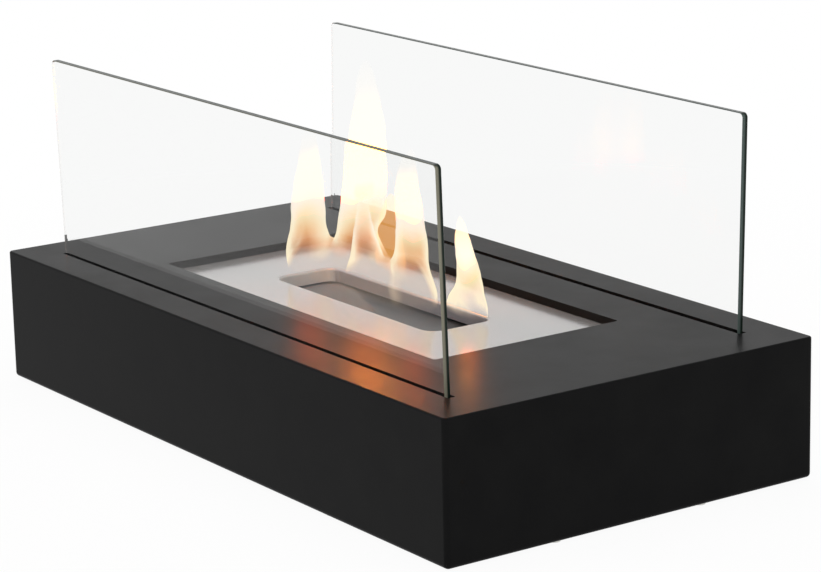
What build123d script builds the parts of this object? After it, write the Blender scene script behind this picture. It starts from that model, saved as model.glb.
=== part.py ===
"""Tabletop bioethanol fireplace: a folded steel housing, two lift-out glass panes and a lift-out burner.

Millimetres, +Z up. The origin is on the table under the middle of the housing, +X runs along the
long side, and the front pane stands on the -Y side.
"""

from math import asin, cos, degrees, sin
import os

from build123d import *

os.makedirs("parts", exist_ok=True)

# ---- Driving dimensions ----

# Housing: folded and corner-welded sheet, open below inside its return flange
housing_length = 500.0
housing_width = 266.0
housing_height = 86.5
housing_sheet = 1.5
corner_radius = 3.0
top_edge_radius = 1.2
bottom_bend_radius = 2.8
return_flange = 14.0

# Base plate and feet
base_thickness = 1.0
base_setback = 4.5
base_corner_radius = 4.0
foot_diameter = 20.0
foot_height = 1.2
foot_inset = 32.0
foot_edge = 0.4

# Recess in the top, and the well that hangs below it
recess_length = 300.0
recess_width = 134.0
recess_corner_radius = 1.5
well_wall = 1.0
well_flange = 11.0
well_air_gap = 12.0

# Ledges in the well that carry the ends of the burner plate
ledge_length = 110.0
ledge_width = 9.0
ledge_height = 14.0
ledge_thickness = 1.2
rivet_diameter = 3.2
rivet_head_diameter = 6.4
rivet_head_height = 1.0
rivet_spacing = 70.0

# Burner plate with its turned-down collar
plate_drop = 5.0
plate_thickness = 1.5
plate_clearance = 0.5
plate_corner_radius = 2.0
opening_length = 174.0
opening_width = 45.0
opening_corner_radius = 9.0
opening_offset = -3.0
collar_wall = 1.5
collar_depth = 9.0
collar_bend_radius = 2.0

# Burner tank and the absorbent wick block in it
tank_margin_x = 15.0
tank_margin_y = 21.0
tank_depth = 48.0
tank_wall = 1.0
tank_flange = 8.0
tank_corner_radius = 10.0
tank_bottom_radius = 3.0
wick_gap = 1.5
wick_clearance = 0.5

# Glass panes: they lean outward by the play that they have in their channels
glass_length = 432.0
glass_height = 170.0
glass_thickness = 4.0
glass_corner_radius = 3.0
glass_arris = 0.4
glass_play = 1.2
glass_clearance = 0.12
glass_end_play = 3.0
glass_seat_depth = 39.0

# Glass channels under the slots
slot_margin = 27.4
channel_wall = 1.0
channel_flange = 11.0
end_stop_length = 3.0
strip_thickness = 2.0
strip_clearance = 0.3
strip_gap = 0.1

# Fasteners: M4 weld studs, flange nuts, base screws and weld nuts
thread_diameter = 4.0
clearance_hole = 4.6
nut_bore_gap = 0.1
stud_length = 8.0
nut_across_flats = 7.0
nut_height = 4.5
nut_flange_diameter = 9.6
nut_flange_height = 1.0
weld_nut_across_flats = 8.0
weld_nut_height = 3.2
screw_head_diameter = 7.6
screw_head_height = 1.0
screw_head_edge = 0.5
screw_socket_across_flats = 2.5
screw_socket_depth = 0.7
screw_length = 8.0

# Fastener spacings
channel_stud_pitch = 145.0
well_stud_pitch = 100.0
base_screw_pitch_x = 250.0
base_screw_pitch_y = 106.0

# ---- Levels and places worked out from them ----

base_bottom_z = foot_height
housing_bottom_z = base_bottom_z + base_thickness
housing_top_z = housing_bottom_z + housing_height
ceiling_z = housing_top_z - housing_sheet
flange_top_z = housing_bottom_z + housing_sheet

plate_top_z = housing_top_z - plate_drop
plate_bottom_z = plate_top_z - plate_thickness
collar_bottom_z = plate_top_z - collar_depth
well_bottom_z = housing_bottom_z + well_air_gap
tank_bottom_z = plate_bottom_z - tank_depth
tank_length = opening_length + 2 * tank_margin_x
tank_width = opening_width + 2 * tank_margin_y

slot_width = glass_thickness + glass_play
slot_length = glass_length + 2 * glass_end_play
slot_y = housing_width / 2 - slot_margin
lean = asin((glass_play - 2 * glass_clearance) / glass_seat_depth)
glass_foot_y = slot_y - glass_play / 2 + glass_clearance
glass_foot_z = housing_top_z - glass_seat_depth * cos(lean)
strip_top_z = glass_foot_z - strip_gap
channel_floor_z = strip_top_z - strip_thickness
channel_length = slot_length + 2 * end_stop_length

# Stud centres under the top: six on each channel's flanges, eight around the well
channel_stud_y = slot_width / 2 + channel_wall + channel_flange / 2
well_stud_y = recess_width / 2 + well_wall + well_flange / 2
well_stud_x = recess_length / 2 + well_wall + well_flange / 2
channel_studs = [
    (column * channel_stud_pitch, row * slot_y + side * channel_stud_y)
    for column in (-1, 0, 1)
    for row in (-1, 1)
    for side in (-1, 1)
]
well_studs = [
    (column * well_stud_pitch, row * well_stud_y) for column in (-1, 0, 1) for row in (-1, 1)
] + [(side * well_stud_x, 0) for side in (-1, 1)]

# Base screw centres: along the middle of the return flange's flat
screw_line = (return_flange + bottom_bend_radius) / 2
screw_y = housing_width / 2 - screw_line
screw_x = housing_length / 2 - screw_line
base_screw_points = [
    (side * base_screw_pitch_x / 2, row * screw_y) for side in (-1, 1) for row in (-1, 1)
] + [(side * screw_x, row * base_screw_pitch_y / 2) for side in (-1, 1) for row in (-1, 1)]

# Feet, set in from the housing's corners
foot_x = housing_length / 2 - foot_inset
foot_y = housing_width / 2 - foot_inset

# ---- Housing ----

with BuildPart() as housing:
    with BuildSketch(Plane.XY.offset(housing_bottom_z)):
        RectangleRounded(housing_length, housing_width, corner_radius)
    extrude(amount=housing_height)
    fillet(housing.faces().sort_by(Axis.Z)[-1].edges(), top_edge_radius)
    fillet(housing.faces().sort_by(Axis.Z)[0].edges(), bottom_bend_radius)
    # the space inside, with the inner side of the bottom bend
    with BuildSketch(Plane.XY.offset(flange_top_z)):
        RectangleRounded(
            housing_length - 2 * housing_sheet,
            housing_width - 2 * housing_sheet,
            corner_radius - housing_sheet,
        )
    extrude(amount=ceiling_z - flange_top_z, mode=Mode.SUBTRACT)
    inner_floor = housing.faces().filter_by(Axis.Z).group_by(Axis.Z)[1]
    fillet(inner_floor.edges(), bottom_bend_radius - housing_sheet)
    # the opening inside the return flange
    with BuildSketch(Plane.XY.offset(housing_bottom_z)):
        Rectangle(housing_length - 2 * return_flange, housing_width - 2 * return_flange)
    extrude(amount=housing_sheet, mode=Mode.SUBTRACT)
    # recess opening and glass slots in the top sheet
    with BuildSketch(Plane.XY.offset(ceiling_z)):
        RectangleRounded(recess_length, recess_width, recess_corner_radius)
        with Locations((0, -slot_y), (0, slot_y)):
            Rectangle(slot_length, slot_width)
    extrude(amount=housing_sheet, mode=Mode.SUBTRACT)
    # screw holes in the return flange
    with BuildSketch(Plane.XY.offset(housing_bottom_z)):
        with Locations(base_screw_points):
            Circle(clearance_hole / 2)
    extrude(amount=housing_sheet, mode=Mode.SUBTRACT)
housing.part.label = "housing"
export_step(housing.part, "parts/housing.step")

with BuildPart() as weld_studs:
    with BuildSketch(Plane.XY.offset(ceiling_z)):
        with Locations(channel_studs + well_studs):
            Circle(thread_diameter / 2)
    extrude(amount=-stud_length)
weld_studs.part.label = "weld_studs"
export_step(weld_studs.part, "parts/weld_studs.step")

# ---- Burner well ----

with BuildPart() as burner_well:
    with BuildSketch(Plane.XY.offset(well_bottom_z)):
        RectangleRounded(
            recess_length + 2 * well_wall,
            recess_width + 2 * well_wall,
            recess_corner_radius + well_wall,
        )
    extrude(amount=ceiling_z - well_bottom_z)
    with BuildSketch(Plane.XY.offset(ceiling_z - well_wall)):
        RectangleRounded(
            recess_length + 2 * well_wall + 2 * well_flange,
            recess_width + 2 * well_wall + 2 * well_flange,
            corner_radius,
        )
        with Locations(well_studs):
            Circle(clearance_hole / 2, mode=Mode.SUBTRACT)
    extrude(amount=well_wall)
    with BuildSketch(Plane.XY.offset(well_bottom_z + well_wall)):
        RectangleRounded(recess_length, recess_width, recess_corner_radius)
    extrude(amount=ceiling_z - well_bottom_z - well_wall, mode=Mode.SUBTRACT)
    # rivet holes for the ledges, through both short walls
    rivet_z = plate_bottom_z - (ledge_height + ledge_thickness) / 2
    with BuildSketch(Plane.YZ):
        with Locations((-rivet_spacing / 2, rivet_z), (rivet_spacing / 2, rivet_z)):
            Circle(rivet_diameter / 2)
    extrude(amount=recess_length / 2 + 2 * well_wall, both=True, mode=Mode.SUBTRACT)
burner_well.part.label = "burner_well"
export_step(burner_well.part, "parts/burner_well.step")

# ---- Ledges in the well, and their rivets ----

for side, direction in (("left", -1), ("right", 1)):
    wall_x = direction * recess_length / 2
    with BuildPart() as ledge:
        with BuildSketch(Plane.XY.offset(plate_bottom_z)):
            with Locations((wall_x - direction * ledge_width / 2, 0)):
                Rectangle(ledge_width, ledge_length)
        extrude(amount=-ledge_thickness)
        with BuildSketch(Plane.XY.offset(plate_bottom_z)):
            with Locations((wall_x - direction * ledge_thickness / 2, 0)):
                Rectangle(ledge_thickness, ledge_length)
        extrude(amount=-ledge_height)
        with BuildSketch(Plane.YZ.offset(wall_x)):
            with Locations((-rivet_spacing / 2, rivet_z), (rivet_spacing / 2, rivet_z)):
                Circle(rivet_diameter / 2)
        extrude(amount=-direction * ledge_thickness, mode=Mode.SUBTRACT)
        top_edges = ledge.edges().filter_by(Axis.Y).group_by(Axis.Z)[-1]
        fillet(top_edges.sort_by(Axis.X)[-1 if direction > 0 else 0], ledge_thickness / 2)
    ledge.part.label = f"burner_ledge_{side}"
    export_step(ledge.part, f"parts/burner_ledge_{side}.step")

with BuildPart() as ledge_rivets:
    rivet_grip = ledge_thickness + well_wall
    for depth, radius, height in (
        (0, rivet_diameter / 2, rivet_grip),
        (-rivet_head_height, rivet_head_diameter / 2, rivet_head_height),
        (rivet_grip, rivet_head_diameter / 2, rivet_head_height),
    ):
        with BuildSketch(Plane.YZ.offset(recess_length / 2 - ledge_thickness + depth)):
            with Locations((-rivet_spacing / 2, rivet_z), (rivet_spacing / 2, rivet_z)):
                Circle(radius)
        extrude(amount=height)
    rim_edges = ledge_rivets.edges().filter_by(GeomType.CIRCLE).group_by(Axis.X)
    fillet(rim_edges[0] + rim_edges[-1], rivet_head_height / 2)
    mirror(about=Plane.YZ)
ledge_rivets.part.label = "ledge_rivets"
export_step(ledge_rivets.part, "parts/ledge_rivets.step")

# ---- Burner: plate with collar, tank, wick block ----

with BuildPart() as burner_plate:
    with BuildSketch(Plane.XY.offset(plate_bottom_z)):
        RectangleRounded(
            recess_length - 2 * plate_clearance,
            recess_width - 2 * plate_clearance,
            plate_corner_radius,
        )
    extrude(amount=plate_thickness)
    with BuildSketch(Plane.XY.offset(collar_bottom_z)):
        with Locations((opening_offset, 0)):
            RectangleRounded(
                opening_length + 2 * collar_wall,
                opening_width + 2 * collar_wall,
                opening_corner_radius + collar_wall,
            )
    extrude(amount=collar_depth)
    with BuildSketch(Plane.XY.offset(collar_bottom_z)):
        with Locations((opening_offset, 0)):
            RectangleRounded(opening_length, opening_width, opening_corner_radius)
    extrude(amount=collar_depth, mode=Mode.SUBTRACT)
    opening_rim = burner_plate.faces().sort_by(Axis.Z)[-1].inner_wires()[0]
    fillet(opening_rim.edges(), collar_bend_radius)
burner_plate.part.label = "burner_plate"
export_step(burner_plate.part, "parts/burner_plate.step")

with BuildPart() as burner_tank:
    with BuildSketch(Plane.XY.offset(tank_bottom_z)):
        with Locations((opening_offset, 0)):
            RectangleRounded(tank_length, tank_width, tank_corner_radius)
    extrude(amount=tank_depth)
    fillet(burner_tank.faces().sort_by(Axis.Z)[0].edges(), tank_bottom_radius)
    with BuildSketch(Plane.XY.offset(plate_bottom_z - tank_wall)):
        with Locations((opening_offset, 0)):
            RectangleRounded(
                tank_length + 2 * tank_flange,
                tank_width + 2 * tank_flange,
                tank_corner_radius + tank_flange,
            )
    extrude(amount=tank_wall)
    with BuildSketch(Plane.XY.offset(tank_bottom_z + tank_wall)):
        with Locations((opening_offset, 0)):
            RectangleRounded(
                tank_length - 2 * tank_wall,
                tank_width - 2 * tank_wall,
                tank_corner_radius - tank_wall,
            )
    extrude(amount=tank_depth - tank_wall, mode=Mode.SUBTRACT)
    tank_floor = burner_tank.faces().filter_by(Axis.Z).group_by(Axis.Z)[1]
    fillet(tank_floor.edges(), tank_bottom_radius - tank_wall)
burner_tank.part.label = "burner_tank"
export_step(burner_tank.part, "parts/burner_tank.step")

wick_bottom_z = tank_bottom_z + tank_wall
wick_top_z = collar_bottom_z - wick_gap
with BuildPart() as wick_block:
    with BuildSketch(Plane.XY.offset(wick_bottom_z)):
        with Locations((opening_offset, 0)):
            RectangleRounded(
                tank_length - 2 * tank_wall - 2 * wick_clearance,
                tank_width - 2 * tank_wall - 2 * wick_clearance,
                tank_corner_radius - tank_wall - wick_clearance,
            )
    extrude(amount=wick_top_z - wick_bottom_z)
    fillet(wick_block.faces().sort_by(Axis.Z)[0].edges(), tank_bottom_radius)
wick_block.part.label = "wick_block"
export_step(wick_block.part, "parts/wick_block.step")

# ---- Glass channels, end stops, seat strips and panes ----

for place, direction in (("front", -1), ("rear", 1)):
    with BuildPart() as channel:
        with BuildSketch(Plane.YZ):
            with Locations((direction * slot_y, ceiling_z)):
                Rectangle(
                    slot_width + 2 * channel_wall,
                    ceiling_z - channel_floor_z + channel_wall,
                    align=(Align.CENTER, Align.MAX),
                )
                Rectangle(
                    slot_width + 2 * channel_wall + 2 * channel_flange,
                    channel_wall,
                    align=(Align.CENTER, Align.MAX),
                )
                Rectangle(
                    slot_width,
                    ceiling_z - channel_floor_z,
                    align=(Align.CENTER, Align.MAX),
                    mode=Mode.SUBTRACT,
                )
        extrude(amount=channel_length / 2, both=True)
        with BuildSketch(Plane.XY.offset(ceiling_z)):
            with Locations(channel_studs):
                Circle(clearance_hole / 2)
        extrude(amount=-channel_wall, mode=Mode.SUBTRACT)
    channel.part.label = f"glass_channel_{place}"
    export_step(channel.part, f"parts/glass_channel_{place}.step")

    with BuildPart() as strip:
        with BuildSketch(Plane.XY.offset(channel_floor_z)):
            with Locations((0, direction * slot_y)):
                Rectangle(slot_length - 2 * strip_clearance, slot_width - 2 * strip_clearance)
        extrude(amount=strip_thickness)
    strip.part.label = f"seat_strip_{place}"
    export_step(strip.part, f"parts/seat_strip_{place}.step")

    pane_plane = Plane(
        origin=(0, direction * glass_foot_y, glass_foot_z),
        x_dir=(1, 0, 0),
        z_dir=(0, -cos(lean), direction * sin(lean)),
    )
    with BuildPart() as pane:
        with BuildSketch(pane_plane):
            with Locations((0, glass_height / 2)):
                RectangleRounded(glass_length, glass_height, glass_corner_radius)
        extrude(amount=glass_thickness / 2, both=True)
        chamfer(pane.faces().sort_by(SortBy.AREA)[-2:].edges(), glass_arris)
    pane.part.label = f"glass_pane_{place}"
    export_step(pane.part, f"parts/glass_pane_{place}.step")

with BuildPart() as channel_end_stops:
    end_stop_x = slot_length / 2 + end_stop_length / 2
    with BuildSketch(Plane.XY.offset(channel_floor_z)):
        with GridLocations(2 * end_stop_x, 2 * slot_y, 2, 2):
            Rectangle(end_stop_length, slot_width)
    extrude(amount=ceiling_z - channel_floor_z)
channel_end_stops.part.label = "channel_end_stops"
export_step(channel_end_stops.part, "parts/channel_end_stops.step")

# ---- Flange nuts on the weld studs ----

for group, points, seat_z in (
    ("channel_nuts", channel_studs, ceiling_z - channel_wall),
    ("well_nuts", well_studs, ceiling_z - well_wall),
):
    with BuildPart() as nuts:
        with BuildSketch(Plane.XY.offset(seat_z)):
            with Locations(points):
                Circle(nut_flange_diameter / 2)
        extrude(amount=-nut_flange_height)
        with BuildSketch(Plane.XY.offset(seat_z - nut_flange_height)):
            with Locations(points):
                RegularPolygon(nut_across_flats / 2, 6, major_radius=False)
        extrude(amount=nut_flange_height - nut_height)
        with BuildSketch(Plane.XY.offset(seat_z)):
            with Locations(points):
                Circle(thread_diameter / 2 + nut_bore_gap)
        extrude(amount=-nut_height, mode=Mode.SUBTRACT)
    nuts.part.label = group
    export_step(nuts.part, f"parts/{group}.step")

# ---- Base plate, its screws and weld nuts, and the feet ----

with BuildPart() as base_plate:
    with BuildSketch(Plane.XY.offset(base_bottom_z)):
        RectangleRounded(
            housing_length - 2 * base_setback,
            housing_width - 2 * base_setback,
            base_corner_radius,
        )
        with Locations(base_screw_points):
            Circle(clearance_hole / 2, mode=Mode.SUBTRACT)
    extrude(amount=base_thickness)
base_plate.part.label = "base_plate"
export_step(base_plate.part, "parts/base_plate.step")

with BuildPart() as base_weld_nuts:
    with BuildSketch(Plane.XY.offset(flange_top_z)):
        with Locations(base_screw_points):
            RegularPolygon(weld_nut_across_flats / 2, 6, major_radius=False)
            Circle(thread_diameter / 2 + nut_bore_gap, mode=Mode.SUBTRACT)
    extrude(amount=weld_nut_height)
base_weld_nuts.part.label = "base_weld_nuts"
export_step(base_weld_nuts.part, "parts/base_weld_nuts.step")

with BuildPart() as base_screws:
    with BuildSketch(Plane.XY.offset(base_bottom_z)):
        with Locations(base_screw_points):
            Circle(screw_head_diameter / 2)
    extrude(amount=-screw_head_height)
    fillet(base_screws.edges().group_by(Axis.Z)[0], screw_head_edge)
    with BuildSketch(Plane.XY.offset(base_bottom_z - screw_head_height)):
        with Locations(base_screw_points):
            RegularPolygon(screw_socket_across_flats / 2, 6, major_radius=False)
    extrude(amount=screw_socket_depth, mode=Mode.SUBTRACT)
    with BuildSketch(Plane.XY.offset(base_bottom_z)):
        with Locations(base_screw_points):
            Circle(thread_diameter / 2)
    extrude(amount=screw_length)
base_screws.part.label = "base_screws"
export_step(base_screws.part, "parts/base_screws.step")

with BuildPart() as foot_pads:
    with BuildSketch(Plane.XY):
        with GridLocations(2 * foot_x, 2 * foot_y, 2, 2):
            Circle(foot_diameter / 2)
    extrude(amount=foot_height)
    chamfer(foot_pads.edges().group_by(Axis.Z)[0], foot_edge)
foot_pads.part.label = "foot_pads"
export_step(foot_pads.part, "parts/foot_pads.step")

print(f"panes lean {degrees(lean):.3f} degrees, foot at y {glass_foot_y:.3f} z {glass_foot_z:.3f}")
print(f"slot at y {slot_y:.2f}, housing top {housing_top_z:.2f}, plate top {plate_top_z:.2f}")
print(f"wick top {wick_top_z:.2f}, tank bottom {tank_bottom_z:.2f}, well bottom {well_bottom_z:.2f}")
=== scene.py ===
from math import radians

import bpy
from mathutils import Matrix, Vector


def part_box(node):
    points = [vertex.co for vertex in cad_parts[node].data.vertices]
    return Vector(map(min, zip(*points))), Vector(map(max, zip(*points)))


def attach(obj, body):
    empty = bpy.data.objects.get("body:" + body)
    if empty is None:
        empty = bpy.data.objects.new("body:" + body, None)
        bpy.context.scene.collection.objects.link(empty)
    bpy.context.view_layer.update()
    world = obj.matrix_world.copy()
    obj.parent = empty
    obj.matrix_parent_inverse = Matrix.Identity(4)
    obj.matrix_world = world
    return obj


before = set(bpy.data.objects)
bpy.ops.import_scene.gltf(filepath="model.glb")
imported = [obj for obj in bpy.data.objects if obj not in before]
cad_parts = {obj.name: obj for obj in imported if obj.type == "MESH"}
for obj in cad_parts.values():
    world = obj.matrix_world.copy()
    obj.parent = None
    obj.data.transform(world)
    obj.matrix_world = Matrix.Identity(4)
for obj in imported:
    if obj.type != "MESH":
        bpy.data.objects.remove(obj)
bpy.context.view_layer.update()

# ---- Feet ----
# Four discs punched from black rubber sheet, with a chamfered lower edge, glued under the base
# plate. The rubber is matt and faintly mottled, and holds a little dust from the table.


def add(tree, kind, inputs=None, **options):
    """Adds a node to a material, sets its options, and sets or joins its inputs."""
    node = tree.nodes.new(kind)
    for option, value in options.items():
        setattr(node, option, value)
    for socket, value in (inputs or {}).items():
        if isinstance(value, bpy.types.NodeSocket):
            tree.links.new(value, node.inputs[socket])
        else:
            node.inputs[socket].default_value = value
    return node


def finish_named(name, inputs=None):
    """A new material: its node tree, its shader, and the object's own coordinates."""
    material = bpy.data.materials.new(name)
    material.use_nodes = True
    tree = material.node_tree
    shader = tree.nodes["Principled BSDF"]
    for socket, value in (inputs or {}).items():
        shader.inputs[socket].default_value = value
    place = add(tree, "ShaderNodeTexCoord").outputs["Object"]
    return material, tree, shader, place


def grain(tree, place, size, stretch=(1, 1, 1), detail=4.0, roughness=0.55):
    """Noise whose blotches are about this size in metres, drawn out by stretch."""
    scale = [1 / (size * s) for s in stretch]
    laid = add(tree, "ShaderNodeMapping", {"Vector": place, "Scale": scale})
    noise = {"Vector": laid.outputs[0], "Scale": 1.0, "Detail": detail, "Roughness": roughness}
    return add(tree, "ShaderNodeTexNoise", noise).outputs["Fac"]


def between(tree, value, low, high, start=0.3, end=0.7):
    """Turns a value that runs from start to end into one that runs from low to high."""
    limits = {"From Min": start, "From Max": end, "To Min": low, "To Max": high}
    return add(tree, "ShaderNodeMapRange", {"Value": value, **limits}).outputs["Result"]


def shade(tree, value, dark, light, way="MIX"):
    """A colour from dark to light, by a value from 0 to 1. Both may be colours or sockets."""
    ends = [end if isinstance(end, bpy.types.NodeSocket) else (*end, 1) for end in (dark, light)]
    inputs = {"Factor": value, "A": ends[0], "B": ends[1]}
    return add(tree, "ShaderNodeMix", inputs, data_type="RGBA", blend_type=way).outputs["Result"]


def raise_by(tree, shader, height, depth):
    """Gives the surface a relief of this depth in metres."""
    bump = add(tree, "ShaderNodeBump", {"Height": height, "Distance": depth, "Strength": 1.0})
    tree.links.new(bump.outputs["Normal"], shader.inputs["Normal"])


def dress(material, *nodes):
    """Puts a material on CAD nodes."""
    for node in nodes:
        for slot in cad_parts[node].material_slots:
            slot.material = material


def rubber(name, colour, dust):
    """Matt black rubber, mottled with dust."""
    material, tree, shader, place = finish_named(name)
    mottle = grain(tree, place, 0.004)
    tree.links.new(shade(tree, between(tree, mottle, 0, 1), colour, dust), shader.inputs["Base Color"])
    tree.links.new(between(tree, mottle, 0.62, 0.8), shader.inputs["Roughness"])
    raise_by(tree, shader, grain(tree, place, 0.0006), 0.00004)
    return material


dress(rubber("foot_rubber", (0.020, 0.020, 0.021), (0.045, 0.043, 0.041)), "foot_pads")

# ---- Base plate, its screws and weld nuts ----
# The base plate is flat steel sheet in the housing's black powder coat. Eight button-head screws
# hold it to weld nuts on the housing's return flange. They are bright zinc over steel.


def powder_coat(name, colour, light_colour):
    """Satin black powder coat: a fine orange peel, and cloudy patches where hands have wiped it."""
    material, tree, shader, place = finish_named(name, {"Specular IOR Level": 0.040})
    cloud = grain(tree, place, 0.035, detail=5.0)
    speck = grain(tree, place, 0.0012, detail=2.0)
    colours = shade(tree, between(tree, cloud, 0, 1), colour, light_colour)
    tree.links.new(colours, shader.inputs["Base Color"])
    tree.links.new(between(tree, cloud, 0.30, 0.36), shader.inputs["Roughness"])
    raise_by(tree, shader, speck, 0.00003)
    return material


def zinc(name):
    """Bright zinc: a faint spangle, bluish with straw patches."""
    material, tree, shader, place = finish_named(name, {"Metallic": 1.0})
    spangle = add(tree, "ShaderNodeTexVoronoi", {"Vector": place, "Scale": 900.0})
    colours = shade(tree, spangle.outputs["Distance"], (0.50, 0.51, 0.52), (0.66, 0.64, 0.58))
    tree.links.new(colours, shader.inputs["Base Color"])
    rub = grain(tree, place, 0.003)
    tree.links.new(between(tree, rub, 0.26, 0.42), shader.inputs["Roughness"])
    raise_by(tree, shader, rub, 0.00002)
    return material


black = powder_coat("powder_coat", (0.0055, 0.0055, 0.0058), (0.0080, 0.0080, 0.0080))
bright_zinc = zinc("zinc_plate")
dress(black, "base_plate")
dress(bright_zinc, "base_screws", "base_weld_nuts")

# ---- Housing and burner well ----
# The housing is one folded steel sheet with welded and ground corners, and slots and the recess
# cut in its top. The well is a folded tray that hangs in the recess. Both are powder coated.

dress(black, "housing", "burner_well")

# ---- Ledges and rivets, weld studs and nuts ----
# Two folded zinc-plated ledges are riveted to the well's short walls. Threaded studs, welded
# under the top, carry the well and the glass channels on flange nuts.

dress(bright_zinc, "burner_ledge_left", "burner_ledge_right", "ledge_rivets")
dress(bright_zinc, "weld_studs", "well_nuts", "channel_nuts")

# ---- Glass channels, end stops and seat strips ----
# Folded U channels under the slots, closed by an end stop each side, all powder coated black.
# A black silicone strip on each channel's floor takes the weight of the pane.

dress(black, "glass_channel_front", "glass_channel_rear", "channel_end_stops")
silicone = rubber("silicone", (0.012, 0.012, 0.012), (0.022, 0.022, 0.022))
dress(silicone, "seat_strip_front", "seat_strip_rear")

# ---- Glass panes ----
# Two panes of 4 mm tempered float glass with ground edges, which stand loose in their channels.
# They hardly reflect, the rear one least, because that is how the photograph shows them. The edges
# are dark green with a pale arris, and clear on the left but for a trace of it. The rear pane's arris
# is painted darker than the front's, as painted shade.


def reckon(tree, operation, *values, clamp=False):
    """One step of arithmetic on values from sockets or plain numbers."""
    inputs = dict(enumerate(values))
    return add(tree, "ShaderNodeMath", inputs, operation=operation, use_clamp=clamp).outputs[0]


def pane_glass(name, pane_y, pane_lean, left_x, arris_and_shade_colour, face_ior):
    """Clear glass on the two faces, and dark green glass with a pale ground band on the edges.
    pane_y is where the pane's middle meets the table plane, and pane_lean its lean in Y by Z."""
    edge_ior = 1.2
    face_colour, edge_green = (0.938, 0.942, 0.938), (0.010, 0.018, 0.013)
    shadow_tint = (0.95, 0.96, 0.955, 1)
    left_clear, left_ground = left_x + 0.0005, left_x + 0.0015
    arris_from, arris_to = -0.0007, 0.0003
    arris_trace = 0.1
    material, tree, shader, place = finish_named(name, {"IOR": face_ior})
    facing = add(tree, "ShaderNodeNewGeometry").outputs["True Normal"]
    turned = add(tree, "ShaderNodeSeparateXYZ", {"Vector": facing})
    squareness = reckon(tree, "ABSOLUTE", turned.outputs["Y"])
    ground = between(tree, squareness, 1, 0, start=0.80, end=0.95)
    at = add(tree, "ShaderNodeSeparateXYZ", {"Vector": place})
    off_left = between(tree, at.outputs["X"], 0, 1, start=left_clear, end=left_ground)
    middle_y = reckon(tree, "MULTIPLY_ADD", at.outputs["Z"], pane_lean, pane_y)
    through = reckon(tree, "SUBTRACT", at.outputs["Y"], middle_y)
    arris = between(tree, through, 1, 0, start=arris_from, end=arris_to)
    worked = reckon(tree, "MAXIMUM", off_left, reckon(tree, "MULTIPLY", arris, arris_trace))
    edge = reckon(tree, "MULTIPLY", ground, worked)
    upright = between(tree, turned.outputs["Z"], 1, 0, start=0.5, end=0.9)
    band = shade(tree, reckon(tree, "MULTIPLY", arris, upright), edge_green, arris_and_shade_colour)
    tree.links.new(shade(tree, edge, face_colour, band), shader.inputs["Base Color"])
    tree.links.new(between(tree, edge, 1, 0, start=0, end=1), shader.inputs["Transmission Weight"])
    if face_ior != edge_ior:
        ior = between(tree, ground, face_ior, edge_ior, start=0, end=1)
        tree.links.new(ior, shader.inputs["IOR"])
    smear = between(tree, grain(tree, place, 0.0025), 0.12, 0.3)
    tree.links.new(reckon(tree, "MULTIPLY", edge, smear), shader.inputs["Roughness"])
    lamp = add(tree, "ShaderNodeLightPath").outputs["Is Shadow Ray"]
    clear = add(tree, "ShaderNodeBsdfTransparent", {"Color": shadow_tint})
    passing = add(tree, "ShaderNodeMixShader", {0: lamp, 1: shader.outputs[0], 2: clear.outputs[0]})
    tree.links.new(passing.outputs[0], tree.nodes["Material Output"].inputs["Surface"])
    return material


glass_thickness = 0.004
# The rear pane's arris colour is darker than the front's: painted shade
panes = (("front", 1, (0.26, 0.25, 0.19), 1.2), ("rear", -1, (0.09, 0.12, 0.11), 1.05))
for side, fire_side, arris_and_shade_colour, face_ior in panes:
    low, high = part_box(f"glass_pane_{side}")
    pane_lean = -fire_side * (high.y - low.y - glass_thickness) / (high.z - low.z)
    foot_y = (high.y if side == "front" else low.y) - fire_side * glass_thickness / 2
    at_table = foot_y - pane_lean * low.z
    pane = pane_glass(f"glass_{side}", at_table, pane_lean, low.x, arris_and_shade_colour, face_ior)
    dress(pane, f"glass_pane_{side}")

# ---- Burner plate and tank ----
# The plate is satin stainless sheet, brushed lengthways, with its opening's edge turned down into
# a collar. The tank is drawn from the same steel, and its flange is welded under the plate. Both
# have a faint straw tint where they run hot.

_, plate_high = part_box("burner_plate")
plate_top = plate_high.z
tank_low, tank_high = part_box("burner_tank")
opening_x = (tank_low.x + tank_high.x) / 2
opening_length = 0.174
collar_left = opening_x - opening_length / 2


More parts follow.
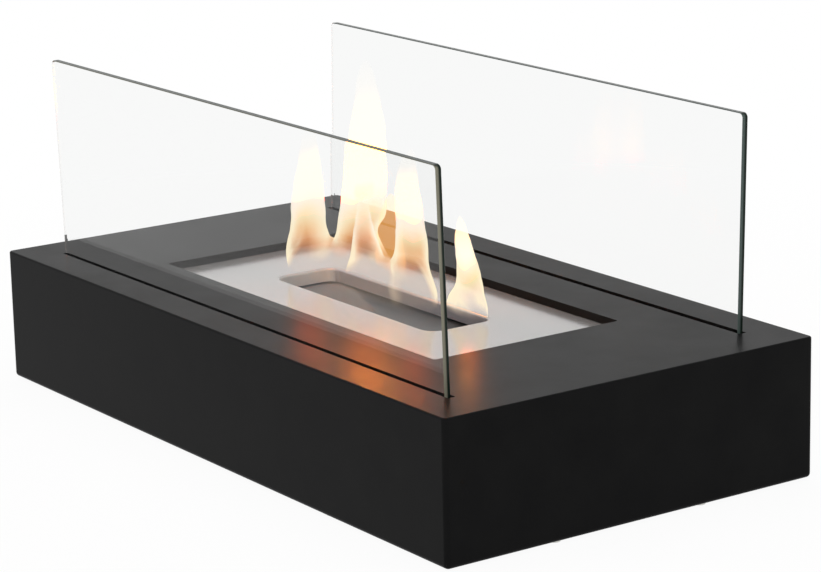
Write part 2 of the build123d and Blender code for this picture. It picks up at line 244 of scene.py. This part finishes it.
def brushed_steel(name, collar_darkening):
    """Stainless sheet brushed along X, tinted by heat round the burner opening, and darker with a blue
    cast inside its collar when given a tint for it. A pale, dull patch of painted light marks the left
    ends of collar and tank, where the end wall shows bright."""
    steel, bright_steel = (0.402, 0.398, 0.395), (0.456, 0.452, 0.449)
    straw, painted_light_white = (0.98, 0.96, 0.94), (0.36, 0.40, 0.40)
    smooth, rough, light_patch_roughness = 0.15, 0.21, 0.4
    clean_metallic, light_patch_metallic = 0.6, 0.1
    straw_share, hot_to, cool_from = 0.55, 0.95, 1.55
    heat_shrink_x, heat_shrink_y = 8.5, 21.0
    light_patch_full, light_patch_ends = collar_left + 0.002, collar_left + 0.005
    collar_full, collar_begins = plate_top - 0.0012, plate_top - 0.0004
    material, tree, shader, place = finish_named(name)
    brushing = grain(tree, place, 0.0009, stretch=(60, 1, 1), detail=6.0, roughness=0.7)
    colours = shade(tree, between(tree, brushing, 0, 1), steel, bright_steel)
    shrunk = {"Location": (-opening_x * heat_shrink_x, 0, 0), "Scale": (heat_shrink_x, heat_shrink_y, 0)}
    from_middle = add(tree, "ShaderNodeMapping", {"Vector": place, **shrunk}).outputs[0]
    distance = add(tree, "ShaderNodeVectorMath", {0: from_middle}, operation="LENGTH").outputs["Value"]
    ragged = reckon(tree, "MULTIPLY_ADD", grain(tree, place, 0.03), 0.5, distance)
    heat = between(tree, ragged, straw_share, 0, start=hot_to, end=cool_from)
    tinted = shade(tree, heat, colours, straw, way="MULTIPLY")
    at = add(tree, "ShaderNodeSeparateXYZ", {"Vector": place})
    # Painted light: a pale, dull patch at the left ends of collar and tank, where the end wall shows
    # bright
    left_end = between(tree, at.outputs["X"], 1, 0, start=light_patch_full, end=light_patch_ends)
    below = between(tree, at.outputs["Z"], 1, 0, start=collar_full, end=collar_begins)
    painted_light_patch = reckon(tree, "MULTIPLY", left_end, below)
    # Inside the collar the colour is multiplied by the given tint, which darkens the plate there with a
    # blue cast
    collar_darkened = shade(tree, below, tinted, collar_darkening, way="MULTIPLY")
    tree.links.new(shade(tree, painted_light_patch, collar_darkened, painted_light_white), shader.inputs["Base Color"])
    metallic = between(tree, painted_light_patch, clean_metallic, light_patch_metallic, start=0, end=1)
    tree.links.new(metallic, shader.inputs["Metallic"])
    dulled = reckon(tree, "MULTIPLY", painted_light_patch, light_patch_roughness)
    roughness = reckon(tree, "ADD", between(tree, brushing, smooth, rough), dulled)
    tree.links.new(roughness, shader.inputs["Roughness"])
    raise_by(tree, shader, brushing, 0.00002)
    return material


# The plate's collar is darkened with a blue cast, and the tank's is left as it is
blue_darkening, no_tint = (0.80, 0.80, 0.89), (1, 1, 1)
dress(brushed_steel("plate_steel", blue_darkening), "burner_plate")
dress(brushed_steel("tank_steel", no_tint), "burner_tank")

# ---- Wick block ----
# A block of ceramic fibre board that fills the tank and soaks up the fuel. Its matt, fibrous top
# has painted light and shade: pale on the left, dark grey and glossier on the right of a slant.


def measured_along(tree, place, direction):
    """How far a place lies along a direction."""
    inputs = {0: place, 1: direction}
    return add(tree, "ShaderNodeVectorMath", inputs, operation="DOT_PRODUCT").outputs["Value"]


def fibre_board(name, lit_colour, shaded_colour):
    """Fibre board with painted light and shade, split by an edge running between two points."""
    shade_edge_start, shade_edge_end = Vector((-0.070, 0.025, 0)), Vector((-0.011, 0.001, 0))
    shade_blur_lit, shade_blur_dark, shade_edge_wobble = 0.001, 0.003, 0.002
    lit_tuft, shaded_tuft = 1.25, 1.3
    material, tree, shader, place = finish_named(name)
    fibres = grain(tree, place, 0.0012, stretch=(4, 1, 1), detail=6.0)
    # A painted edge between light and shade splits the top into a lit side and a shaded side
    along = (shade_edge_end - shade_edge_start).normalized()
    toward_shade = Vector((-along.y, along.x, 0))
    inward = measured_along(tree, place, toward_shade)
    wobbly = reckon(tree, "MULTIPLY_ADD", fibres, shade_edge_wobble, inward)
    shade_edge_at = toward_shade.dot(shade_edge_start)
    shade_edge_limits = {"start": shade_edge_at - shade_blur_lit, "end": shade_edge_at + shade_blur_dark}
    shaded_share = between(tree, wobbly, 0, 1, **shade_edge_limits)
    tufts = between(tree, fibres, 0, 1)
    lit_side = shade(tree, tufts, lit_colour, [c * lit_tuft for c in lit_colour])
    shaded_side = shade(tree, tufts, shaded_colour, [c * shaded_tuft for c in shaded_colour])
    tree.links.new(shade(tree, shaded_share, lit_side, shaded_side), shader.inputs["Base Color"])
    tree.links.new(between(tree, shaded_share, 0.85, 0.35, start=0, end=1), shader.inputs["Roughness"])
    raise_by(tree, shader, fibres, 0.0002)
    return material


# Painted light and shade on the wick: the lit side's colour, then the shaded side's
dress(fibre_board("ceramic_fibre", (0.110, 0.122, 0.122), (0.022, 0.026, 0.027)), "wick_block")

# ---- Flames ----
# Ethanol vapour burns clear for the first two or three centimetres above the plate, then orange,
# then pale yellow, which thins out at the tips. One thin sheet is drawn up into three tongues, and
# a fourth, low one stands apart on the right. A slender lick stands inside and a dim one behind.

# The fire's bright side and the level direction across it. They are fixed on the object, and match
# the side that the photograph was taken from.
bright_side = Vector((0.797, -0.550, 0.247))
across_fire = Vector((0.5685, 0.8227, 0))


def ramp_through(tree, value, stops):
    """A colour ramp through stops, each a position from 0 to 1 and a colour with its alpha."""
    ramp = add(tree, "ShaderNodeValToRGB", {"Fac": value})
    points = ramp.color_ramp.elements
    while len(points) < len(stops):
        points.new(0.5)
    for point, (position, colour) in zip(points, stops):
        point.position = position
        point.color = colour
    return ramp


def by_place(tree, across, stops, most):
    """A value that varies with the place across, from pairs of place in mm and value, up to most."""
    reach = 0.1
    along = between(tree, across, 0, 1, start=-reach, end=reach)
    greys = [(0.5 + x / 1000 / reach / 2, (value / most,) * 3 + (1,)) for x, value in stops]
    return reckon(tree, "MULTIPLY", ramp_through(tree, along, greys).outputs["Color"], most)


def flame_colour(name, light, clear_stops, tip_stops, root_stops, rim_stops, density=1.0, rim_body=0.75):
    """Light given off by the fire: clear, orange, yellow, gone. light gives a height in mm above the
    clear zone, the light there as red, green and blue, and how dense the fire is. The four lists
    give, along the burner, how high it is clear, where it ends, and where it and its rims begin."""
    strength = 44.0
    tallest = 200.0
    light_from, light_to = -16, 44
    sway, rim_rise, root_rise = 4, 8, 6
    cooling = 2.2
    no_surface = {"Base Color": (0, 0, 0, 1), "Roughness": 1.0, "Specular IOR Level": 0.0}
    material, tree, shader, place = finish_named(name, {**no_surface, "Emission Strength": strength})
    at = add(tree, "ShaderNodeSeparateXYZ", {"Vector": place})
    along = at.outputs["X"]
    height = reckon(tree, "MULTIPLY", reckon(tree, "SUBTRACT", at.outputs["Z"], plate_top), 1000.0)
    draught = grain(tree, place, 0.016, stretch=(1, 1, 3), detail=1.0)
    wavy = reckon(tree, "ADD", between(tree, draught, -sway, sway, start=0.2, end=0.8), height)

    # The sheet's own light, by height over the clear zone
    over_clear = reckon(tree, "SUBTRACT", wavy, by_place(tree, along, clear_stops, tallest))
    rise = between(tree, over_clear, 0, 1, start=light_from, end=light_to)
    stops = [
        ((mm - light_from) / (light_to - light_from), (*[c / strength for c in colour], body * density))
        for mm, colour, body in light
    ]
    sheet = ramp_through(tree, rise, stops)

    # Brighter rims, where the sheet turns away from its bright side or folds into a valley
    turned = add(tree, "ShaderNodeTexCoord").outputs["Normal"]
    square = reckon(tree, "ABSOLUTE", measured_along(tree, turned, bright_side))
    rim = between(tree, square, 1, 0, start=0.45, end=0.90)
    outline = between(tree, square, 1, 0, start=0.12, end=0.45)
    valley = by_place(tree, measured_along(tree, place, across_fire), valley_stops, 1.0)
    over_rim = reckon(tree, "SUBTRACT", height, by_place(tree, along, rim_stops, tallest))
    begun = between(tree, over_rim, 0, 1, start=0, end=rim_rise)
    not_yet_hot = between(tree, rise, 1, 0, start=0.75, end=1.1)
    rim_share = reckon(tree, "MULTIPLY", begun, not_yet_hot)
    broad_rim = reckon(tree, "MULTIPLY", reckon(tree, "MAXIMUM", rim, valley), rim_share)
    high_up = between(tree, rise, 0, 1, start=0.5, end=0.9)
    edge = reckon(tree, "MAXIMUM", broad_rim, reckon(tree, "MULTIPLY", outline, high_up))
    low_rim = [c / strength for c in (1.10, 0.95, 0.66)]
    high_rim = [c / strength for c in (1.06, 1.03, 0.96)]
    lit = shade(tree, edge, sheet.outputs["Color"], shade(tree, high_up, low_rim, high_rim))

    # Towards its tip the fire cools and thins
    reached = reckon(tree, "DIVIDE", wavy, by_place(tree, along, tip_stops, tallest))
    full_share = reckon(tree, "POWER", between(tree, reached, 1, 0, start=0.42, end=0.85), cooling)
    thinning = reckon(tree, "SUBTRACT", 1.0, full_share)
    tip_light = [c / strength for c in (1.08, 1.03, 0.94)]
    tree.links.new(shade(tree, thinning, lit, tip_light), shader.inputs["Emission Color"])
    edged = add(tree, "ShaderNodeMix", {"Factor": edge, "A": sheet.outputs["Alpha"], "B": rim_body})
    over_root = reckon(tree, "SUBTRACT", height, by_place(tree, along, root_stops, tallest))
    rooted = between(tree, over_root, 0, 1, start=0, end=root_rise)
    fade = between(tree, reached, 1, 0, start=0.5, end=0.97)
    faced = between(tree, square, 0.15, 1, start=0.05, end=0.6)
    soft = add(tree, "ShaderNodeMix", {"Factor": thinning, "A": 1.0, "B": faced})
    whole = reckon(tree, "MULTIPLY", edged.outputs[0], soft.outputs[0])
    alpha = reckon(tree, "MULTIPLY", whole, reckon(tree, "MULTIPLY", rooted, fade), clamp=True)
    tree.links.new(alpha, shader.inputs["Alpha"])
    return material


def smooth_rings(sections):
    """Rings on a smooth curve through a tongue's sections. A section is its height above the plate,
    its centre along and across, and its two half widths, all in mm."""
    spacing = 8.0
    slopes = []
    for index in range(len(sections)):
        below, above = sections[max(index - 1, 0)], sections[min(index + 1, len(sections) - 1)]
        slopes.append([(b - a) / (above[0] - below[0]) for a, b in zip(below, above)])
    rings = []
    for low, high, slope_low, slope_high in zip(sections, sections[1:], slopes, slopes[1:]):
        rise = high[0] - low[0]
        steps = max(1, round(rise / spacing))
        for step in range(steps):
            gone = step / steps
            eased = gone * gone * (3 - 2 * gone)
            leaving = rise * gone * (1 - gone) ** 2
            arriving = rise * gone * gone * (gone - 1)
            sizes = zip(low, high, slope_low, slope_high)
            rings.append([a + (b - a) * eased + leaving * c + arriving * d for a, b, c, d in sizes])
    rings.append(list(sections[-1]))
    return rings


def tongue(name, sections):
    """One closed tongue: a disc drawn upward ring by ring, and drawn together at the tip."""
    bpy.ops.object.select_all(action="DESELECT")
    bpy.ops.mesh.primitive_circle_add(vertices=24, radius=1.0, fill_type="NGON")
    flame = bpy.context.object
    flame.name = flame.data.name = name
    bpy.ops.object.mode_set(mode="EDIT")
    bpy.ops.mesh.select_all(action="SELECT")
    centre, size = Vector((0, 0, 0)), (1.0, 1.0)
    for ring, (height, x, y, half_x, half_y) in enumerate(smooth_rings(sections)):
        new_centre = Vector((x / 1000, y / 1000, plate_top + height / 1000))
        new_size = (half_x / 1000, half_y / 1000)
        if ring:
            bpy.ops.mesh.extrude_region_move(TRANSFORM_OT_translate={"value": new_centre - centre})
        else:
            bpy.ops.transform.translate(value=new_centre - centre)
        growth = (new_size[0] / size[0], new_size[1] / size[1], 1)
        bpy.ops.transform.resize(value=growth, center_override=new_centre)
        centre, size = new_centre, new_size
    bpy.ops.mesh.merge(type="CENTER")
    bpy.ops.mesh.select_all(action="SELECT")
    bpy.ops.mesh.normals_make_consistent(inside=False)
    bpy.ops.object.mode_set(mode="OBJECT")
    smoothing = flame.modifiers.new("smoothing", "SUBSURF")
    smoothing.levels = smoothing.render_levels = 2
    bpy.ops.object.modifier_apply(modifier="smoothing")
    return flame


def fire_sheet(name, tongues, material, smoothing_steps):
    """Joins tongues into one sheet with soft valleys, and lets the draught ruffle it."""
    bpy.ops.object.select_all(action="DESELECT")
    for flame in tongues:
        flame.select_set(True)
    bpy.context.view_layer.objects.active = tongues[0]
    if len(tongues) > 1:
        bpy.ops.object.join()
    sheet = bpy.context.object
    sheet.name = sheet.data.name = name
    joining = sheet.modifiers.new("joining", "REMESH")
    joining.mode = "VOXEL"
    joining.voxel_size = 0.0012
    bpy.ops.object.modifier_apply(modifier="joining")
    draught = bpy.data.textures.new(name + "_draught", "CLOUDS")
    draught.noise_scale = 0.018
    ruffle = sheet.modifiers.new("ruffle", "DISPLACE")
    ruffle.texture = draught
    ruffle.texture_coords = "LOCAL"
    ruffle.strength = 0.003
    bpy.ops.object.modifier_apply(modifier="ruffle")
    softening = sheet.modifiers.new("softening", "SMOOTH")
    softening.factor = 0.5
    softening.iterations = smoothing_steps
    bpy.ops.object.modifier_apply(modifier="softening")
    bpy.ops.object.shade_smooth()
    sheet.data.materials.append(material)
    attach(sheet, "burner")


# The sections of each tongue, as smooth_rings describes them
left_tongue = (
    (-9, -62, -6, 25, 13), (8, -64, -7, 28, 14), (18, -66, -8, 25, 13), (36, -72, -8, 14, 10),
    (50, -70, -8, 12, 10), (76, -70, -7, 9, 7), (99, -72, -5, 5, 4), (106, -72, -5, 1, 1),
)
tall_tongue = (
    (-9, -28, 1, 36, 18), (0, -28, 1, 39, 19), (20, -28, 2, 28, 17), (36, -34, 4, 14, 12),
    (50, -28, 5, 16, 14), (97, -26, 7, 14, 12), (116, -25, 7, 10, 9), (143, -25, 7, 5, 4),
    (150, -25, 7, 1, 1),
)
short_tongue = (
    (-9, 14, 7, 30, 12), (0, 15, 7, 32, 14), (17, 18, 7, 22, 12), (32, 25, 5, 12, 10),
    (42, 26, 5, 11, 9), (68, 23, 5, 9, 8), (88, 22, 6, 6, 6), (100, 24, 6, 1, 1),
)
skirt = (
    (-9, -24, 0, 62, 18), (0, -24, 0, 64, 19), (14, -24, 1, 61, 14), (24, -25, 2, 51, 7),
    (32, -49, 1, 12, 1),
)
low_tongue = (
    (-9, 65, 14, 20, 5), (0, 66, 15, 23, 6), (10, 70, 14, 18, 7), (23, 73, 13, 10, 7),
    (34, 72, 12, 8, 6), (55, 67, 12, 4, 4), (66, 65, 12, 1, 1),
)
inner_lick = (
    (4, -8, -4, 23, 13), (16, -8, -4, 20, 12), (32, -14, -3, 10, 8), (52, -18, -1, 6, 5),
    (70, -19, 0, 2, 2),
)
back_lick = ((12, -9, 13, 15, 6), (36, -9, 13, 12, 6), (60, -7, 13, 6, 4), (66, -7, 13, 2, 2))

# The light of the fire, as flame_colour describes it
clear_glow = (-6, (1.05, 0.75, 0.50), 0.08)
deep_orange = (2, (1.20, 0.35, 0.05), 0.25)
amber = (9, (1.25, 0.60, 0.20), 0.40)
straw_yellow = (20, (1.15, 0.95, 0.55), 0.60)
pale_yellow = (30, (44.0, 1.07, 0.85), 0.72)
white_hot = (38, (44.0, 16.0, 0.95), 0.76)
sheet_light = (clear_glow, deep_orange, amber, straw_yellow, pale_yellow, white_hot)
low_light = (
    (-6, (1.10, 0.90, 0.75), 0.06),
    (1, (1.25, 0.90, 0.65), 0.30),
    (9, (1.10, 0.95, 0.50), 0.60),
    (16, (20.0, 1.03, 0.80), 0.70),
    (24, (34.0, 14.0, 0.95), 0.76),
)
dim_light = ((0, (3.0, 1.22, 0.15), 0.12), (40, (3.0, 1.3, 0.25), 0.12))

# Heights above the plate by place along the burner, and the valleys by place across the fire
root_stops = ((-85, 6), (-60, 4), (0, 2), (40, 0.5))
rim_stops = ((-85, 2), (-75, 10), (-62, 24), (2, 24), (14, 20), (27, 0))
tall_tips = ((-68, 102), (-40, 152), (-10, 152), (12, 104))
clear_stops = ((-75, 22.5), (-50, 25), (-27, 29), (-12, 33), (-2, 31), (10, 27), (23, 25.5))
valley_stops = ((-49, 0), (-40, 0.7), (-35, 0.95), (-29, 0.9), (-20, 0), (-5, 0), (2, 0.7), (13, 0))

fire = flame_colour("flame_sheet", sheet_light, clear_stops, tall_tips, root_stops, rim_stops)
tongues = [
    tongue("left_tongue", left_tongue),
    tongue("tall_tongue", tall_tongue),
    tongue("short_tongue", short_tongue),
    tongue("skirt", skirt),
]
fire_sheet("flame_tongues", tongues, fire, 12)

low_clear, low_tips = ((0, 18), (80, 18)), ((0, 80), (80, 80))
low_fire = flame_colour("flame_low", low_light, low_clear, low_tips, root_stops, root_stops)
fire_sheet("flame_low_tongue", [tongue("low_tongue", low_tongue)], low_fire, 4)

lick_clear, lick_tips = ((-20, 27), (0, 31)), ((-20, 74), (0, 74))
lick_roots = ((-28, 11), (-10, 18), (4, 26))
lick_density = 0.5
lick_fire = flame_colour(
    "flame_lick", sheet_light, lick_clear, lick_tips, lick_roots, lick_roots, lick_density
)
fire_sheet("flame_inner_lick", [tongue("inner_lick", inner_lick)], lick_fire, 4)

dim_clear, dim_tips = ((-20, 24), (0, 24)), ((-20, 130), (0, 130))
dim_roots, no_rim = ((-20, 16), (0, 16)), ((-20, 190), (0, 190))
dim_body = 0.12
dim_fire = flame_colour(
    "flame_dim", dim_light, dim_clear, dim_tips, dim_roots, no_rim, rim_body=dim_body
)
fire_sheet("flame_back_lick", [tongue("back_lick", back_lick)], dim_fire, 4)

# ---- Studio ----
# A pale floor under a white surround, and three soft lamps: a large one overhead, a faint one from
# the left and one from the right. The camera stands where the photograph was taken from.

scene = bpy.context.scene
scene.view_settings.view_transform = "Standard"
scene.cycles.transparent_max_bounces = 24


def seen_directly(tree):
    """1 for rays from the camera, from gloss and through glass, and 0 for the others."""
    rays = add(tree, "ShaderNodeLightPath").outputs
    gloss = reckon(tree, "MAXIMUM", rays["Is Camera Ray"], rays["Is Glossy Ray"])
    return reckon(tree, "MAXIMUM", gloss, rays["Is Transmission Ray"])


# The floor takes the object's shadow faintly, and fades to plain white away from it
near, far = 0.3, 0.8
white_near, white_far = 0.95, 1.0
floor_width, below_feet = 12, 0.0002
bpy.ops.object.select_all(action="DESELECT")
bpy.ops.mesh.primitive_plane_add(size=floor_width, location=(0, 0, -below_feet))
floor = bpy.context.object
floor.name = floor.data.name = "studio_floor"
paper, tree, shader, place = finish_named(
    "floor_paper", {"Base Color": (0.86, 0.86, 0.86, 1), "Roughness": 0.9}
)
white = add(tree, "ShaderNodeEmission", {"Color": (1, 1, 1, 1), "Strength": 1.0})
from_middle = add(tree, "ShaderNodeVectorMath", {0: place}, operation="LENGTH").outputs["Value"]
blank = between(tree, from_middle, white_near, white_far, start=near, end=far)
white_share = reckon(tree, "MULTIPLY", seen_directly(tree), blank)
blended = add(tree, "ShaderNodeMixShader", {0: white_share, 1: shader.outputs[0], 2: white.outputs[0]})
tree.links.new(blended.outputs[0], tree.nodes["Material Output"].inputs["Surface"])
floor.data.materials.append(paper)

# The surround is white where it is seen, and lights the object at half that
world = bpy.data.worlds.new("white_surround")
world.use_nodes = True
scene.world = world
sky = world.node_tree.nodes["Background"]
sky.inputs["Color"].default_value = (1, 1, 1, 1)
fill = 0.5
surround = reckon(world.node_tree, "MULTIPLY_ADD", seen_directly(world.node_tree), 1 - fill, fill)
world.node_tree.links.new(surround, sky.inputs["Strength"])


def soft_lamp(name, place, aim, size, power):
    """A square lamp, screened from gloss, so that glass and steel mirror the white surround alone."""
    lamp = bpy.data.lights.new(name, "AREA")
    lamp.shape = "SQUARE"
    lamp.size = size
    lamp.energy = power
    holder = bpy.data.objects.new(name, lamp)
    scene.collection.objects.link(holder)
    holder.visible_glossy = False
    holder.location = place
    holder.rotation_euler = (Vector(aim) - Vector(place)).to_track_quat("-Z", "Y").to_euler()


soft_lamp("lamp_overhead", (-0.3, 0.2, 1.9), (0, 0, 0.05), 1.4, 14)
soft_lamp("lamp_left", (-1.2, -1.6, 1.3), (0, 0, 0.08), 1.0, 2.5)
soft_lamp("lamp_right", (1.8, -1.3, 1.0), (0, 0, 0.08), 1.0, 11)

# The camera: a long lens, 55 degrees round from the front and 14 degrees up
camera = bpy.data.cameras.new("camera")
camera.lens = 135.2
camera.sensor_width = 36.0
camera.clip_start = 0.1
camera.clip_end = 50.0
eye = bpy.data.objects.new("camera", camera)
scene.collection.objects.link(eye)
stand = Matrix.Translation((1.54791, -1.0498, 0.56815))
round_turn = Matrix.Rotation(radians(55.354), 4, "Z")
down_turn = Matrix.Rotation(radians(90 - 14.303), 4, "X")
roll = Matrix.Rotation(radians(-1.289), 4, "Z")
eye.matrix_world = stand @ round_turn @ down_turn @ roll
scene.camera = eye
